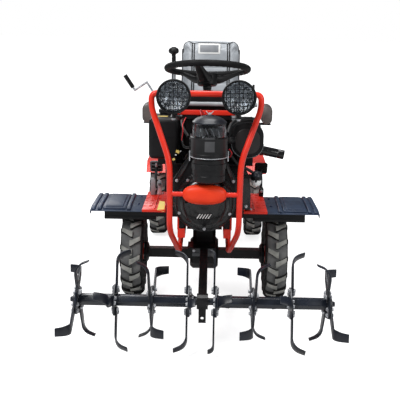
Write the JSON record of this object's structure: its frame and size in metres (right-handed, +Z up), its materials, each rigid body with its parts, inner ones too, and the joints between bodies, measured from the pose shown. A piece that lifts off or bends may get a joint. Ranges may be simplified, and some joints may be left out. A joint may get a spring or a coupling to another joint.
{
  "type": "articulated mini tractor",
  "caption": "Articulated mini tractor with a powered tine rotor in front, a bull bar with round lamps, lugged wheels and a seat on the hinged rear frame.",
  "frame": {"origin": "bottom centre of the bounding box, on the ground", "axes": "+Z up; the machine drives toward -Y; its left side is +X"},
  "size_m": [1.1986, 2.3944, 1.275],
  "materials": {
    "red_paint": "gloss",
    "black_paint": "satin",
    "engine_black": "satin",
    "fender_plastic": "satin",
    "black_plastic": "satin",
    "tyre_rubber": "matte",
    "lamp_black": "gloss",
    "lens_glass": "clear",
    "bowl_glass": "clear",
    "filter_glass": "frosted",
    "cast_metal": "cast",
    "bright_steel": "brushed",
    "grip_rubber": "matte",
    "seat_cover": "satin",
    "seat_shell": "satin",
    "box_grey": "satin",
    "tine_steel": "satin",
    "rotor_paint": "satin"
  },
  "bodies": {
    "front": {"front_gearcase": "black_paint", "front_axle": "black_paint", "front_chassis": "red_paint", "fender_beams": "black_paint", "fenders": "fender_plastic", "foot_plates": "red_paint", "bull_bar_left": "red_paint", "bull_bar_right": "red_paint", "bull_bar_cross": "red_paint", "front_pod": "red_paint", "lamp_housings": "lamp_black", "lamp_lenses": "lens_glass", "lamp_guards": "lamp_black", "crankcase": "engine_black", "cylinder": "cast_metal", "fan_shroud": "engine_black", "air_cleaner": "black_plastic", "air_cleaner_bowl": "bowl_glass", "engine_brackets": "black_paint", "intake_duct": "black_plastic", "fuel_tank": "engine_black", "fuel_cap": "black_plastic", "muffler": "black_paint", "filter_bowl": "filter_glass", "console": "black_paint", "dash_ledge": "red_paint", "steering_gear": "black_paint", "grab_bar": "bright_steel", "gear_lever": "bright_steel", "control_knobs": "black_plastic", "pedals": "black_paint", "drive_arm": "black_paint"},
    "steering_wheel": {"steering_wheel": "grip_rubber"},
    "pitman_arm": {"pitman_arm": "black_paint"},
    "drag_link": {"drag_link": "bright_steel"},
    "rotor": {"rotor_shaft": "rotor_paint", "tines": "tine_steel"},
    "wheel_front_left": {"tyre_front_left": "tyre_rubber", "rim_front_left": "red_paint"},
    "wheel_front_right": {"tyre_front_right": "tyre_rubber", "rim_front_right": "red_paint"},
    "wheel_rear_left": {"tyre_rear_left": "tyre_rubber", "rim_rear_left": "red_paint"},
    "wheel_rear_right": {"tyre_rear_right": "tyre_rubber", "rim_rear_right": "red_paint"},
    "rear": {"pivot_barrel": "red_paint", "rear_frame": "red_paint", "rear_gearcase": "black_paint", "rear_axle": "black_paint", "rear_guards": "red_paint", "seat_base": "red_paint", "seat_pan": "seat_shell", "seat_cushion": "seat_cover", "seat_back": "seat_cover", "side_boxes": "box_grey", "lift_crank": "bright_steel", "crank_grip": "grip_rubber"}
  },
  "joints": [
    {"name": "articulation", "type": "hinge", "parent": "front", "child": "rear", "pos_m": [0, 0.32122, 0.35395], "axis": [0, 0, 1], "range_deg": [-30, 30]},
    {"name": "pitman_turn", "type": "hinge", "parent": "front", "child": "pitman_arm", "pos_m": [0, -0.02878, 0.35695], "axis": [0, 0, 1], "range_deg": [-30, 30]},
    {"name": "drag_link_turn", "type": "hinge", "parent": "pitman_arm", "child": "drag_link", "pos_m": [0.11, -0.02878, 0.34495], "axis": [0, 0, 1], "range_deg": [-30, 30]},
    {"name": "steering_turn", "type": "hinge", "parent": "front", "child": "steering_wheel", "pos_m": [0, -0.03878, 1.15395], "axis": [0, 0.2079, 0.9781], "range_deg": [-480, 480]},
    {"name": "rotor_spin", "type": "hinge", "parent": "front", "child": "rotor", "pos_m": [0, -0.97878, 0.23495], "axis": [1, 0, 0], "continuous": true},
    {"name": "wheel_front_left_spin", "type": "hinge", "parent": "front", "child": "wheel_front_left", "pos_m": [0.362, -0.23878, 0.22495], "axis": [1, 0, 0], "continuous": true},
    {"name": "wheel_front_right_spin", "type": "hinge", "parent": "front", "child": "wheel_front_right", "pos_m": [-0.362, -0.23878, 0.22495], "axis": [1, 0, 0], "continuous": true},
    {"name": "wheel_rear_left_spin", "type": "hinge", "parent": "rear", "child": "wheel_rear_left", "pos_m": [0.31, 0.92622, 0.22495], "axis": [1, 0, 0], "continuous": true},
    {"name": "wheel_rear_right_spin", "type": "hinge", "parent": "rear", "child": "wheel_rear_right", "pos_m": [-0.31, 0.92622, 0.22495], "axis": [1, 0, 0], "continuous": true}
  ],
  "couplings": [
    {"joint": "pitman_turn", "follows": "articulation", "ratio": 1},
    {"joint": "drag_link_turn", "follows": "articulation", "ratio": -1},
    {"joint": "steering_turn", "follows": "articulation", "ratio": -16}
  ]
}
